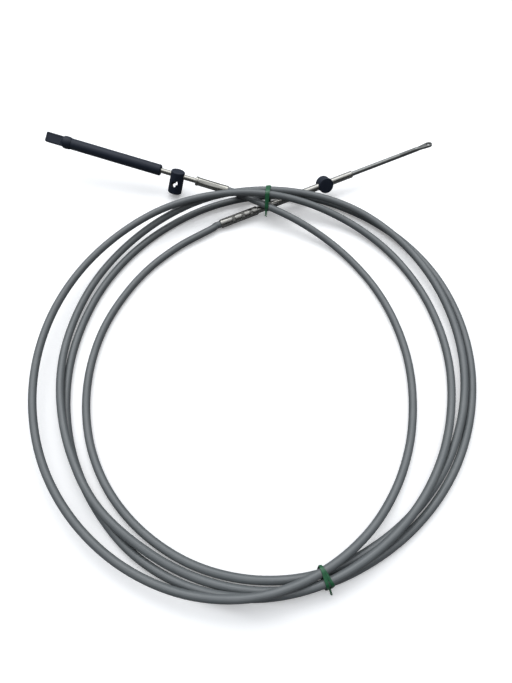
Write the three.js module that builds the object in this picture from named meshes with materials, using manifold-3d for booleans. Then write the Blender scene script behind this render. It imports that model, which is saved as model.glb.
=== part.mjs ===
// Push-pull control cable, coiled in four turns and held by two twist ties.
// Millimetres, Z up. While it is built the coil's middle is at (0, MIDDLE_Y); the last lines move
// the whole group so that the origin is under the middle of its bounding box.
import * as THREE from 'three';
import { mergeVertices } from 'three/addons/utils/BufferGeometryUtils.js';
import Module from 'manifold-3d';

const wasm = await Module();
wasm.setup();

const JACKET_R = 4;
const JACKET_SIDES = 8;
const RINGS_PER_KNOT = 2;
const MIDDLE_Y = -30;
const STATION_DEG = 15;

// Each turn: radius from the coil's middle and height of the centre-line at every 15 degrees of the
// clock, twelve o'clock first, as judged from the photograph.
const TURNS = [
  { r: [204.5, 185, 175, 165.5, 159, 156, 157, 161.5, 170.5, 182.5, 196.5, 210.5,
        222.5, 227.5, 228.5, 227.5, 225.5, 222.5, 220, 218, 216, 214, 212.5, 209],
    z: [19, 15, 6.5, 4, 4, 4, 4, 4, 4, 5.5, 11.5, 18,
        22, 16, 14, 15.5, 17, 18.5, 20, 21.5, 23.5, 26, 29, 31.5] },
  { r: [206.5, 209.5, 210.5, 207.5, 203, 199.5, 198.5, 199, 201.5, 206.5, 212.5, 219,
        222, 220.5, 215, 206.5, 199.5, 194, 191, 190.5, 193.5, 198.5, 205.5, 214],
    z: [31, 20.5, 10, 5.5, 4, 4, 4, 4.5, 10, 13.5, 14, 14.2,
        11, 4.5, 4, 4, 4, 4, 4, 4, 4, 4, 4, 5] },
  { r: [222.5, 230.5, 231.5, 230.5, 228, 224, 220.5, 218, 217, 216.5, 217, 218.5,
        216, 211.5, 207, 204.5, 199.5, 197, 197.5, 199.5, 203, 206, 209.5, 212.5],
    z: [5.5, 5, 4, 4, 4, 4, 4, 4, 4, 4, 5, 5.6,
        4.6, 4.5, 10, 13, 13, 12.2, 10.2, 8, 8.5, 12, 17.5, 23.8] },
  { r: [216, 220.5, 226, 223.5, 218.5, 214.5, 211.5, 209.5, 208.5, 207.5, 208, 209.5,
        207, 202.5, 196, 189, 181.5, 174.5, 169.5, 167, 166.5, 169.5, 174.5, 184],
    z: [25, 22.5, 16, 13, 11.5, 9.5, 8.5, 7, 4, 4, 5, 5.6,
        4.6, 4, 4, 4, 4, 4, 4, 4, 4, 4, 4.5, 5.5] },
];

// The straight end fittings: where the jacket enters each one, and the way it points (degrees).
const ENGINE = { mouth: [-33.2, 195.2, 14.3], azimuth: 166.2, rise: 8.7 };
const CONTROL = { mouth: [-41, 151.6, 5.7], azimuth: 22.6, rise: 4.5 };
const RUN_IN = 7;

// Clearance between pieces that seat or slide in each other, and the travel of the core.
const GAP = 0.35;
const TRAVEL = 76;

// Both hubs: depth of the jacket's socket, wall behind it, and the crimped grooves.
const SOCKET = 8;
const WEB = 4;
const CRIMP_DEPTH = 0.35;
const CRIMP_FLAT = 3;
const CRIMP_RAMP = 1;
const LIP_LENGTH = 2.5;
const HUB_SIDES = 20;

// Engine end, distances along its axis from the mouth of its hub.
const E_HUB_END = 39.3;
const E_HUB_WALL = 0.55;
const E_HUB_LIP = 0.5;
const E_HUB_CRIMPS = [5, 12];
const E_TUBE_R = 3;
const E_TUBE_END = 176;
const E_TUBE_BEVEL = 0.7;
const E_BARREL_AT = 61.9;
const E_BARREL_R = 8.2;
const E_BARREL_SHORT = 5.2;
const E_BARREL_LONG = 21.5;
const E_BARREL_EDGE = 0.9;
const E_BARREL_LEAN = 28;
const KEYHOLE = [{ down: 13.4, side: 1.9, radius: 2.6 }, { down: 9.9, side: -0.6, radius: 2.4 }];
const KEYHOLE_LEAN = 22;
const E_SLEEVE_FROM = 82;
const E_SLEEVE_TO = 191;
const E_SLEEVE_R = 6.5;
const E_SLEEVE_EDGE = 0.9;
const SPIGOT_R = 4;
const SPIGOT_LENGTH = 7;
const E_COLLAR_R = 7.4;
const E_COLLAR_TO = 203.5;
const E_COLLAR_RAMP = 4;
const E_COLLAR_NOSE_R = 4.6;
const TAB_TO = 222;
const TAB_WIDTH = 11.5;
const TAB_THICK = 4.6;
const TAB_ROOT = 6;
const TAB_TURN = -30;

// Control end, distances along its axis from the mouth of its hub.
const C_HUB_END = 46;
const C_HUB_WALL = 0.75;
const C_HUB_CRIMPS = [16, 28, 38];
const C_TUBE_R = 4;
const C_TUBE_END = 168.7;
const C_TUBE_BEVEL = 0.7;
const C_BARREL_AT = 132.9;
const C_BARREL_R = 8.9;
const C_BARREL_LENGTH = 12.8;
const C_BARREL_EDGE = 0.7;
const C_BARREL_LEAN = -60;
const ROD_R = 2.7;
const ROD_HELD = 14.2;
const ROD_BOTTOM = 2;
const EYE_FROM = 254;
const EYE_LENGTH = 21.7;
const EYE_R = 4.3;
const EYE_HOLE_R = 2.2;
const EYE_HEEL_R = 2.1;
const EYE_THICK = 3;
const EYE_TURN = -20;

// Twist ties: a flat band round the strands, and a twisted end that stands out of it.
const BAND_WIDTH = 5;
const BAND_THICK = 0.9;
const BAND_GAP = 0.6;
const TAIL_R = 1.5;
const TAIL_KINKS = 4;

const grey = new THREE.MeshStandardMaterial({ name: 'jacket_grey', color: 0x666b6e, roughness: 0.55 });
const steel = new THREE.MeshStandardMaterial({ name: 'steel', color: 0xa8a7a2, roughness: 0.3, metalness: 1 });
const black = new THREE.MeshStandardMaterial({ name: 'black_plastic', color: 0x22283a, roughness: 0.5 });
const green = new THREE.MeshStandardMaterial({ name: 'tie_green', color: 0x2c7a4c, roughness: 0.4 });

const group = new THREE.Group();
const rad = THREE.MathUtils.degToRad;

// One closed mesh: shared corners merged, and the empty triangles at a lathe's poles dropped.
function closed(geometry) {
  geometry.deleteAttribute('normal');
  geometry.deleteAttribute('uv');
  const merged = mergeVertices(geometry, 1e-4);
  const old = merged.getIndex().array;
  const kept = [];
  for (let i = 0; i < old.length; i += 3) {
    const [a, b, c] = [old[i], old[i + 1], old[i + 2]];
    if (a !== b && b !== c && c !== a) kept.push(a, b, c);
  }
  merged.setIndex(kept);
  return merged;
}

function solidOf(geometry) {
  const mesh = closed(geometry);
  return new wasm.Manifold(new wasm.Mesh({
    numProp: 3,
    vertProperties: new Float32Array(mesh.getAttribute('position').array),
    triVerts: new Uint32Array(mesh.getIndex().array),
  }));
}

function geometryOf(solid) {
  const mesh = solid.getMesh();
  const geometry = new THREE.BufferGeometry();
  geometry.setAttribute('position', new THREE.Float32BufferAttribute(mesh.vertProperties, 3));
  geometry.setIndex(new THREE.Uint32BufferAttribute(mesh.triVerts, 1));
  return geometry;
}

// A solid turned about the local X axis from [distance, radius] pairs; both ends lie on the axis.
function turned(profile, sides) {
  const points = profile.map(([x, r]) => new THREE.Vector2(r, x));
  return new THREE.LatheGeometry(points, sides).rotateZ(-Math.PI / 2);
}

// A cylinder for cuts and joins, from a point along a unit vector.
function rodSolid(from, way, length, radius, sides) {
  const geometry = new THREE.CylinderGeometry(radius, radius, length, sides);
  geometry.translate(0, length / 2, 0);
  geometry.applyQuaternion(new THREE.Quaternion().setFromUnitVectors(new THREE.Vector3(0, 1, 0), way));
  geometry.translate(from.x, from.y, from.z);
  return solidOf(geometry);
}

function add(name, geometry, material, frame) {
  const whole = closed(geometry);
  if (frame) whole.applyMatrix4(frame);
  whole.computeVertexNormals();
  const mesh = new THREE.Mesh(whole, material);
  mesh.name = name;
  group.add(mesh);
}

// Local frame of a fitting: X along its axis, Y level, Z as near up as can be.
function frameOf(fitting) {
  const [az, up] = [rad(fitting.azimuth), rad(fitting.rise)];
  const x = new THREE.Vector3(Math.cos(az) * Math.cos(up), Math.sin(az) * Math.cos(up), Math.sin(up));
  const y = new THREE.Vector3(-Math.sin(az), Math.cos(az), 0);
  const z = new THREE.Vector3().crossVectors(x, y);
  const frame = new THREE.Matrix4().makeBasis(x, y, z);
  frame.setPosition(...fitting.mouth);
  return frame;
}

const engineFrame = frameOf(ENGINE);
const controlFrame = frameOf(CONTROL);
const along = (frame, x) => new THREE.Vector3(x, 0, 0).applyMatrix4(frame);

// A smooth curve through the knots that never dips into the floor. Its steps are even between the
// knots and not along its length, so the jacket has a ring on every knot, the hubs' mouths too.
class Route extends THREE.Curve {
  constructor(knots) {
    super();
    this.steps = RINGS_PER_KNOT * (knots.length - 1);
    this.spline = new THREE.CatmullRomCurve3(knots, false, 'centripetal');
  }

  getPoint(t, target) {
    const point = this.spline.getPoint(t, target);
    point.z = Math.max(point.z, JACKET_R);
    return point;
  }

  getPointAt(u, target) {
    return this.getPoint(u, target);
  }

  getTangentAt(u, target) {
    return this.getTangent(u, target);
  }
}

function jacketRoute() {
  const ends = [SOCKET - GAP, 0, -RUN_IN];
  const knots = ends.map((x) => along(engineFrame, x));
  for (const turn of TURNS) {
    turn.r.forEach((r, k) => {
      const a = rad(k * STATION_DEG);
      knots.push(new THREE.Vector3(r * Math.sin(a), MIDDLE_Y + r * Math.cos(a), turn.z[k]));
    });
  }
  knots.push(...ends.reverse().map((x) => along(controlFrame, x)));
  return new Route(knots);
}

const route = jacketRoute();

function outerJacket() {
  const corners = [];
  for (let k = 0; k < JACKET_SIDES; k += 1) {
    const a = (2 * Math.PI * (k + 0.5)) / JACKET_SIDES;
    corners.push(new THREE.Vector2(JACKET_R * Math.cos(a), JACKET_R * Math.sin(a)));
  }
  const section = new THREE.Shape(corners);
  add('outer_jacket', new THREE.ExtrudeGeometry(section, { steps: route.steps, extrudePath: route }), grey);
}

// Crimped hub: a socket for the jacket at one end and one for the tube at the other.
function hub(wall, end, lip, boreR, crimps) {
  const socketR = JACKET_R + GAP;
  const radius = socketR + wall;
  const profile = [[SOCKET, 0], [SOCKET, socketR], [0, socketR], [0, radius]];
  for (const middle of crimps) {
    const [flat, foot] = [CRIMP_FLAT / 2, CRIMP_FLAT / 2 + CRIMP_RAMP];
    profile.push([middle - foot, radius], [middle - flat, radius - CRIMP_DEPTH]);
    profile.push([middle + flat, radius - CRIMP_DEPTH], [middle + foot, radius]);
  }
  if (lip > 0) profile.push([end - LIP_LENGTH - lip, radius], [end - LIP_LENGTH, radius + lip]);
  profile.push([end, radius + lip], [end, boreR], [SOCKET + WEB, boreR], [SOCKET + WEB, 0]);
  return turned(profile, HUB_SIDES);
}

function engineHub() {
  add('engine_hub', hub(E_HUB_WALL, E_HUB_END, E_HUB_LIP, E_TUBE_R + GAP, E_HUB_CRIMPS), steel, engineFrame);
}

function engineTube() {
  const from = SOCKET + WEB + GAP;
  const profile = [[from, 0], [from, E_TUBE_R], [E_TUBE_END - 2 * E_TUBE_BEVEL, E_TUBE_R],
    [E_TUBE_END, E_TUBE_R - E_TUBE_BEVEL], [E_TUBE_END, 0]];
  add('engine_tube', turned(profile, 16), steel, engineFrame);
}

// The barrel hangs on the tube: a round bar across it, cut by the tube's bore and by a keyhole.
function engineBarrel() {
  const lean = rad(E_BARREL_LEAN);
  const axis = new THREE.Vector3(0, -Math.sin(lean), Math.cos(lean));
  const across = new THREE.Vector3(0, Math.cos(lean), Math.sin(lean));
  const [inside, outside] = [E_BARREL_R - E_BARREL_EDGE, E_BARREL_R];
  const body = turned([[-E_BARREL_LONG, 0], [-E_BARREL_LONG, inside], [-E_BARREL_LONG + E_BARREL_EDGE, outside],
    [E_BARREL_SHORT - E_BARREL_EDGE, outside], [E_BARREL_SHORT, inside], [E_BARREL_SHORT, 0]], 28);
  body.applyQuaternion(new THREE.Quaternion().setFromUnitVectors(new THREE.Vector3(1, 0, 0), axis));
  const reach = E_BARREL_R + 4;
  const bore = rodSolid(new THREE.Vector3(-reach, 0, 0), new THREE.Vector3(1, 0, 0), 2 * reach, E_TUBE_R + GAP, 20);
  let barrel = solidOf(body).subtract(bore);
  const tip = rad(KEYHOLE_LEAN);
  const through = across.clone().multiplyScalar(Math.cos(tip)).addScaledVector(axis, Math.sin(tip));
  for (const { down, side, radius } of KEYHOLE) {
    const from = axis.clone().multiplyScalar(-down).addScaledVector(through, -reach);
    from.x += side;
    barrel = barrel.subtract(rodSolid(from, through, 2 * reach, radius, 14));
  }
  add('engine_barrel', geometryOf(barrel).translate(E_BARREL_AT, 0, 0), black, engineFrame);
}

// The sleeve slides on the tube, and its far end holds the terminal's spigot.
function engineSleeve() {
  const boreR = E_TUBE_R + GAP;
  const floor = E_SLEEVE_TO - SPIGOT_LENGTH;
  const boreTo = (E_TUBE_END + floor) / 2;
  const profile = [[boreTo, 0], [boreTo, boreR], [E_SLEEVE_FROM, boreR],
    [E_SLEEVE_FROM, E_SLEEVE_R - E_SLEEVE_EDGE], [E_SLEEVE_FROM + E_SLEEVE_EDGE, E_SLEEVE_R],
    [E_SLEEVE_TO, E_SLEEVE_R], [E_SLEEVE_TO, SPIGOT_R + GAP], [floor, SPIGOT_R + GAP], [floor, 0]];
  add('engine_sleeve', turned(profile, 20), black, engineFrame);
}

function engineTerminal() {
  const [spigot, collar] = [E_SLEEVE_TO - SPIGOT_LENGTH + GAP, E_SLEEVE_TO + GAP];
  const body = turned([[spigot, 0], [spigot, SPIGOT_R], [collar, SPIGOT_R], [collar, E_SLEEVE_R],
    [collar + E_COLLAR_RAMP, E_COLLAR_R], [E_COLLAR_TO - E_COLLAR_RAMP, E_COLLAR_R],
    [E_COLLAR_TO, E_COLLAR_NOSE_R], [E_COLLAR_TO, 0]], 20);
  const [from, to] = [E_COLLAR_TO - TAB_ROOT, TAB_TO];
  const tab = new THREE.BoxGeometry(to - from, TAB_WIDTH, TAB_THICK);
  tab.rotateX(rad(TAB_TURN));
  tab.translate((from + to) / 2, 0, 0);
  add('engine_terminal', geometryOf(solidOf(body).add(solidOf(tab))), black, engineFrame);
}

function controlHub() {
  add('control_hub', hub(C_HUB_WALL, C_HUB_END, 0, C_TUBE_R + GAP, C_HUB_CRIMPS), steel, controlFrame);
}

// The tube's bore is deep enough for the rod at the inner end of its travel.
function controlTube() {
  const from = SOCKET + WEB + GAP;
  const bottom = C_TUBE_END - ROD_HELD - TRAVEL - ROD_BOTTOM;
  const profile = [[from, 0], [from, C_TUBE_R], [C_TUBE_END - 2 * C_TUBE_BEVEL, C_TUBE_R],
    [C_TUBE_END, C_TUBE_R - C_TUBE_BEVEL], [C_TUBE_END, ROD_R + GAP], [bottom, ROD_R + GAP], [bottom, 0]];
  add('control_tube', turned(profile, 20), steel, controlFrame);
}

function controlBarrel() {
  const lean = rad(C_BARREL_LEAN);
  const axis = new THREE.Vector3(0, Math.sin(lean), Math.cos(lean));
  const [half, inside] = [C_BARREL_LENGTH / 2, C_BARREL_R - C_BARREL_EDGE];
  const body = turned([[-half, 0], [-half, inside], [-half + C_BARREL_EDGE, C_BARREL_R],
    [half - C_BARREL_EDGE, C_BARREL_R], [half, inside], [half, 0]], 32);
  body.applyQuaternion(new THREE.Quaternion().setFromUnitVectors(new THREE.Vector3(1, 0, 0), axis));
  const reach = C_BARREL_R + 4;
  const bore = rodSolid(new THREE.Vector3(-reach, 0, 0), new THREE.Vector3(1, 0, 0), 2 * reach, C_TUBE_R + GAP, 24);
  const barrel = geometryOf(solidOf(body).subtract(bore));
  add('control_barrel', barrel.translate(C_BARREL_AT, 0, 0), black, controlFrame);
}

// A round rod whose end is pressed flat into an eye.
function controlRod() {
  const from = C_TUBE_END - ROD_HELD;
  const bevel = ROD_R / 4;
  const rod = turned([[from, 0], [from, ROD_R - bevel], [from + bevel, ROD_R], [EYE_FROM, ROD_R],
    [EYE_FROM + 3 * ROD_R, EYE_THICK / 2 - 0.1], [EYE_FROM + 3 * ROD_R, 0]], 16);
  const [eyeX, heelX] = [EYE_FROM + EYE_LENGTH - EYE_R, EYE_FROM + 1];
  const tangent = Math.acos((EYE_HEEL_R - EYE_R) / (eyeX - heelX));
  const outline = new THREE.Shape();
  outline.absarc(eyeX, 0, EYE_R, -tangent, tangent, false);
  outline.absarc(heelX, 0, EYE_HEEL_R, tangent, 2 * Math.PI - tangent, false);
  const hole = new THREE.Path();
  hole.absarc(eyeX, 0, EYE_HOLE_R, 0, 2 * Math.PI, true);
  outline.holes.push(hole);
  const plate = new THREE.ExtrudeGeometry(outline, { depth: EYE_THICK, bevelEnabled: false, curveSegments: 9 });
  plate.translate(0, 0, -EYE_THICK / 2);
  plate.rotateX(rad(EYE_TURN));
  add('control_rod', geometryOf(solidOf(rod).add(solidOf(plate))), steel, controlFrame);
}

// An upright plane out through the coil's middle, moved sideways by shift.
function planeAt(clock, shift) {
  const a = rad(clock);
  const out = new THREE.Vector3(Math.sin(a), Math.cos(a), 0);
  const normal = new THREE.Vector3(Math.cos(a), -Math.sin(a), 0);
  const base = new THREE.Vector3(0, MIDDLE_Y, 0).addScaledVector(normal, shift);
  return { out, normal, base };
}

// Where the jacket meets such a plane: [distance out along it, height, radius].
function jacketCrossings(clock, shift) {
  const { out, normal, base } = planeAt(clock, shift);
  const points = route.getSpacedPoints(route.steps).map((p) => p.sub(base));
  const found = [];
  for (let i = 0; i + 1 < points.length; i += 1) {
    const [p, q] = [points[i], points[i + 1]];
    const [dp, dq] = [p.dot(normal), q.dot(normal)];
    if (dp * dq > 0 || dp === dq) continue;
    const m = p.clone().lerp(q, dp / (dp - dq));
    if (m.dot(out) > 0) found.push([m.dot(out), m.z, JACKET_R]);
  }
  return found;
}

function controlTubeCrossing(clock, shift) {
  const { out, normal, base } = planeAt(clock, shift);
  const p = along(controlFrame, 0).sub(base);
  const way = along(controlFrame, 1).sub(base).sub(p);
  const m = p.addScaledVector(way, -p.dot(normal) / way.dot(normal));
  return [m.dot(out), m.z, C_TUBE_R];
}

function convexHull(points) {
  const sorted = [...points].sort((p, q) => p[0] - q[0] || p[1] - q[1]);
  const half = (list) => {
    const chain = [];
    for (const p of list) {
      while (chain.length > 1) {
        const [a, b] = chain.slice(-2);
        if ((b[0] - a[0]) * (p[1] - a[1]) - (b[1] - a[1]) * (p[0] - a[0]) > 0) break;
        chain.pop();
      }
      chain.push(p);
    }
    return chain.slice(0, -1);
  };
  return [...half(sorted), ...half(sorted.reverse())];
}

// The band is drawn tight round every strand that crosses its width. Its frame has X out from the
// coil's middle, Y up and Z along the strands; the tail leaves at an angle from X.
function tie(name, clock, holdsTube, tailAngle, tailLength) {
  const shifts = [-BAND_WIDTH / 2, 0, BAND_WIDTH / 2];
  const held = shifts.flatMap((shift) => {
    const strands = jacketCrossings(clock, shift);
    if (holdsTube) strands.push(controlTubeCrossing(clock, shift));
    return strands;
  });
  const loop = (grow) => convexHull(held.flatMap(([u, v, r]) => {
    const points = [];
    for (let k = 0; k < 16; k += 1) {
      const t = (2 * Math.PI * k) / 16;
      points.push([u + (r + grow) * Math.cos(t), v + (r + grow) * Math.sin(t)]);
    }
    return points;
  }));
  const outside = loop(BAND_GAP + BAND_THICK);
  const band = new THREE.Shape(outside.map(([u, v]) => new THREE.Vector2(u, v)));
  band.holes.push(new THREE.Path(loop(BAND_GAP).map(([u, v]) => new THREE.Vector2(u, v))));
  const flat = new THREE.ExtrudeGeometry(band, { depth: BAND_WIDTH, bevelEnabled: false });
  flat.translate(0, 0, -BAND_WIDTH / 2);
  let solid = solidOf(flat);

  const way = new THREE.Vector3(Math.cos(rad(tailAngle)), Math.sin(rad(tailAngle)), 0);
  const reach = ([u, v]) => u * way.x + v * way.y;
  const root = outside.reduce((best, p) => (reach(p) > reach(best) ? p : best));
  const piece = tailLength / TAIL_KINKS;
  for (let k = 0; k < TAIL_KINKS; k += 1) {
    const from = new THREE.Vector3(root[0], root[1], 0).addScaledVector(way, k * piece - BAND_THICK / 2);
    from.z = (k % 2 ? 1 : -1) * TAIL_R / 3;
    solid = solid.add(rodSolid(from, way, piece + BAND_THICK, TAIL_R * (1 - k / (2 * TAIL_KINKS)), 10));
  }

  const { out, normal, base } = planeAt(clock, 0);
  const frame = new THREE.Matrix4().makeBasis(out, new THREE.Vector3(0, 0, 1), normal);
  frame.setPosition(base);
  add(name, geometryOf(solid), green, frame);
}

outerJacket();
engineHub();
engineTube();
engineBarrel();
engineSleeve();
engineTerminal();
controlHub();
controlTube();
controlBarrel();
controlRod();
tie('twist_tie_top', 3.5, true, 195, 10);
tie('twist_tie_bottom', 163.5, false, 0, 8);

const box = new THREE.Box3().setFromObject(group);
const shift = new THREE.Vector3(-(box.min.x + box.max.x) / 2, -(box.min.y + box.max.y) / 2, -box.min.z);
for (const mesh of group.children) mesh.geometry.translate(shift.x, shift.y, shift.z);

export default group;
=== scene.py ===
# %% [markdown]
# # A coiled push-pull control cable
# The CAD model holds the cable's pieces at their real size, and it is loaded here as a fixed frame.
# Blender gives each piece its finish and the small shapes that a plain solid leaves out: crimps,
# threads, rounded edges and twisted wire. New pieces are made in millimetres, in the straight frame
# of their own fitting, and are then laid along it in metres.

import math

import bmesh
import bpy
from mathutils import Euler, Matrix, Vector
from mathutils.geometry import convex_hull_2d


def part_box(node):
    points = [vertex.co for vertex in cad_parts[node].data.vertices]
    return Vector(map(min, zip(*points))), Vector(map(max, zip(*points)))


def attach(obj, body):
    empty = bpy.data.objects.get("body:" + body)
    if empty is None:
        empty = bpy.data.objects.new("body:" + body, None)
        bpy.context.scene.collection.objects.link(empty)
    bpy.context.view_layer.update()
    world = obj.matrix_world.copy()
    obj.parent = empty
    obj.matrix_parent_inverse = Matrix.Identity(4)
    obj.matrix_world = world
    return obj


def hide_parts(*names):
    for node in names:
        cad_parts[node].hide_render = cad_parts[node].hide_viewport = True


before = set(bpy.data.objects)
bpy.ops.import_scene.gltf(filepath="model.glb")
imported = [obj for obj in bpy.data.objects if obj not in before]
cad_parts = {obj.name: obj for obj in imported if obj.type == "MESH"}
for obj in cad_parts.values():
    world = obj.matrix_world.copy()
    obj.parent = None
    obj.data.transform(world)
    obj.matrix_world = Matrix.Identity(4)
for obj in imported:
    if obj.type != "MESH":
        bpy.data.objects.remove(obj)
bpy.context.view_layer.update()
MM = 0.001
GAP = 0.35

# %% [markdown]
# A fitting is straight, so its pieces are easiest to make along the X axis, counted from the mouth
# where the jacket goes in. Its frame is that axis turned to the fitting's azimuth and lifted by its
# rise. The part's own zero was moved when its box was centred, and the middle of a piece that is
# alike both ways, the control barrel, says by how much.

# %% The two straight fittings
ENGINE = {"mouth": (-33.2, 195.2, 14.3), "azimuth": 166.2, "rise": 8.7}
CONTROL = {"mouth": (-41, 151.6, 5.7), "azimuth": 22.6, "rise": 4.5}
C_BARREL_AT = 132.9


def fitting_frame(fitting):
    azimuth, rise = math.radians(fitting["azimuth"]), math.radians(fitting["rise"])
    level_run = math.cos(rise)
    along = Vector((math.cos(azimuth) * level_run, math.sin(azimuth) * level_run, math.sin(rise)))
    level = Vector((-math.sin(azimuth), math.cos(azimuth), 0))
    place = Matrix((along, level, along.cross(level))).transposed().to_4x4()
    place.translation = Vector(fitting["mouth"])
    return place


barrel_low, barrel_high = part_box("control_barrel")
barrel_plan = fitting_frame(CONTROL) @ Vector((C_BARREL_AT, 0, 0))
SHIFT = (barrel_low + barrel_high) / 2 / MM - barrel_plan
TO_ROW = Matrix.Scale(MM, 4) @ Matrix.Translation(SHIFT)
ENGINE_FRAME = TO_ROW @ fitting_frame(ENGINE)
CONTROL_FRAME = TO_ROW @ fitting_frame(CONTROL)
print("shift in millimetres:", [round(value, 3) for value in SHIFT])

# %% [markdown]
# The photograph was taken from close by. The strands at its lower edge look half as thick again as
# those at the top, so the camera stands on that side and looks down at 62 degrees. Its distance and
# lens follow from the same widths.

# %% Camera
CAMERA_TILT = math.radians(28)
CAMERA_DISTANCE = 649
FOCAL_PIXELS = 615
FRAME_PIXELS = 683
SENSOR = 36

camera_data = bpy.data.cameras.new("photo_camera")
camera_data.sensor_fit = "VERTICAL"
camera_data.sensor_height = SENSOR
camera_data.lens = SENSOR * FOCAL_PIXELS / FRAME_PIXELS
camera = bpy.data.objects.new("photo_camera", camera_data)
bpy.context.scene.collection.objects.link(camera)
back_and_up = Vector((0, -math.sin(CAMERA_TILT), math.cos(CAMERA_TILT))) * CAMERA_DISTANCE
camera.location = TO_ROW @ back_and_up
camera.rotation_euler = Euler((CAMERA_TILT, 0, 0))
bpy.context.scene.camera = camera
print("lens", round(camera_data.lens, 2), "mm, camera at", [round(value, 3) for value in camera.location])

# %% [markdown]
# ## The jacket's route
# The coil is the same list of radii and heights that the CAD part was made from, one for every 15
# degrees of the clock. The CAD tube has two straight steps between stations. Here the same smooth
# curve is stepped finer, so that it looks bent and not folded.

# %% Route
JACKET_R = 4
MIDDLE_Y = -30
STATION_DEG = 15
RUN_IN = 7
SOCKET = 8
STEPS = 8
TURNS = [
    {"r": [204.5, 185, 175, 165.5, 159, 156, 157, 161.5, 170.5, 182.5, 196.5, 210.5,
           222.5, 227.5, 228.5, 227.5, 225.5, 222.5, 220, 218, 216, 214, 212.5, 209],
     "z": [19, 15, 6.5, 4, 4, 4, 4, 4, 4, 5.5, 11.5, 18,
           22, 16, 14, 15.5, 17, 18.5, 20, 21.5, 23.5, 26, 29, 31.5]},
    {"r": [206.5, 209.5, 210.5, 207.5, 203, 199.5, 198.5, 199, 201.5, 206.5, 212.5, 219,
           222, 220.5, 215, 206.5, 199.5, 194, 191, 190.5, 193.5, 198.5, 205.5, 214],
     "z": [31, 20.5, 10, 5.5, 4, 4, 4, 4.5, 10, 13.5, 14, 14.2,
           11, 4.5, 4, 4, 4, 4, 4, 4, 4, 4, 4, 5]},
    {"r": [222.5, 230.5, 231.5, 230.5, 228, 224, 220.5, 218, 217, 216.5, 217, 218.5,
           216, 211.5, 207, 204.5, 199.5, 197, 197.5, 199.5, 203, 206, 209.5, 212.5],
     "z": [5.5, 5, 4, 4, 4, 4, 4, 4, 4, 4, 5, 5.6,
           4.6, 4.5, 10, 13, 13, 12.2, 10.2, 8, 8.5, 12, 17.5, 23.8]},
    {"r": [216, 220.5, 226, 223.5, 218.5, 214.5, 211.5, 209.5, 208.5, 207.5, 208, 209.5,
           207, 202.5, 196, 189, 181.5, 174.5, 169.5, 167, 166.5, 169.5, 174.5, 184],
     "z": [25, 22.5, 16, 13, 11.5, 9.5, 8.5, 7, 4, 4, 5, 5.6,
           4.6, 4, 4, 4, 4, 4, 4, 4, 4, 4, 4.5, 5.5]},
]


def route_knots():
    ends = [SOCKET - GAP, 0, -RUN_IN]
    knots = [fitting_frame(ENGINE) @ Vector((x, 0, 0)) for x in ends]
    for turn in TURNS:
        for k, (radius, height) in enumerate(zip(turn["r"], turn["z"])):
            clock = math.radians(k * STATION_DEG)
            knots.append(Vector((radius * math.sin(clock), MIDDLE_Y + radius * math.cos(clock), height)))
    knots += [fitting_frame(CONTROL) @ Vector((x, 0, 0)) for x in reversed(ends)]
    return knots


def smooth_line(knots, steps):
    """A centripetal Catmull-Rom curve through the knots."""
    line = []
    padded = [2 * knots[0] - knots[1], *knots, 2 * knots[-1] - knots[-2]]
    for before, start, end, after in zip(padded, padded[1:], padded[2:], padded[3:]):
        gaps = [math.sqrt((b - a).length) for a, b in ((before, start), (start, end), (end, after))]
        middle = (end - start) / gaps[1]
        leave = (start - before) / gaps[0] - (end - before) / (gaps[0] + gaps[1]) + middle
        arrive = middle - (after - start) / (gaps[1] + gaps[2]) + (after - end) / gaps[2]
        leave, arrive = leave * gaps[1], arrive * gaps[1]
        for step in range(steps):
            t = step / steps
            line.append(
                start + leave * t
                + (3 * (end - start) - 2 * leave - arrive) * t ** 2
                + (2 * (start - end) + leave + arrive) * t ** 3
            )
    line.append(knots[-1])
    return [Vector((p.x, p.y, max(p.z, JACKET_R))) for p in line]


ROUTE = smooth_line(route_knots(), STEPS)
JACKET_LENGTH = sum((b - a).length for a, b in zip(ROUTE, ROUTE[1:])) * MM
print("jacket:", len(ROUTE), "points,", round(JACKET_LENGTH, 3), "m")

# %% [markdown]
# ## Shared parts of the finishes
# Every surface here varies a little: in colour over a few centimetres, in gloss over a few
# millimetres and in height over tenths of one. One node group does that for all of them. A second
# one draws fine lines, which run along the jacket where it left the die and round the drawn steel.


# %% Node groups
def new_group(name, inputs, outputs):
    group = bpy.data.node_groups.new(name, "ShaderNodeTree")
    for label, kind, value in inputs:
        socket = group.interface.new_socket(label, in_out="INPUT", socket_type=kind)
        if value is not None:
            socket.default_value = value
    for label, kind in outputs:
        group.interface.new_socket(label, in_out="OUTPUT", socket_type=kind)
    return group, group.nodes.new("NodeGroupInput"), group.nodes.new("NodeGroupOutput")


def noise(nodes, links, vector, scale, detail):
    texture = nodes.new("ShaderNodeTexNoise")
    texture.inputs["Detail"].default_value = detail
    links.new(vector, texture.inputs["Vector"])
    links.new(scale, texture.inputs["Scale"])
    return texture.outputs["Fac"]


def ranged(nodes, links, value, low, high):
    """Maps a noise's middle range to low..high, which are sockets."""
    node = nodes.new("ShaderNodeMapRange")
    node.inputs["From Min"].default_value = 0.3
    node.inputs["From Max"].default_value = 0.7
    links.new(value, node.inputs["Value"])
    links.new(low, node.inputs["To Min"])
    links.new(high, node.inputs["To Max"])
    return node.outputs["Result"]


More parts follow.
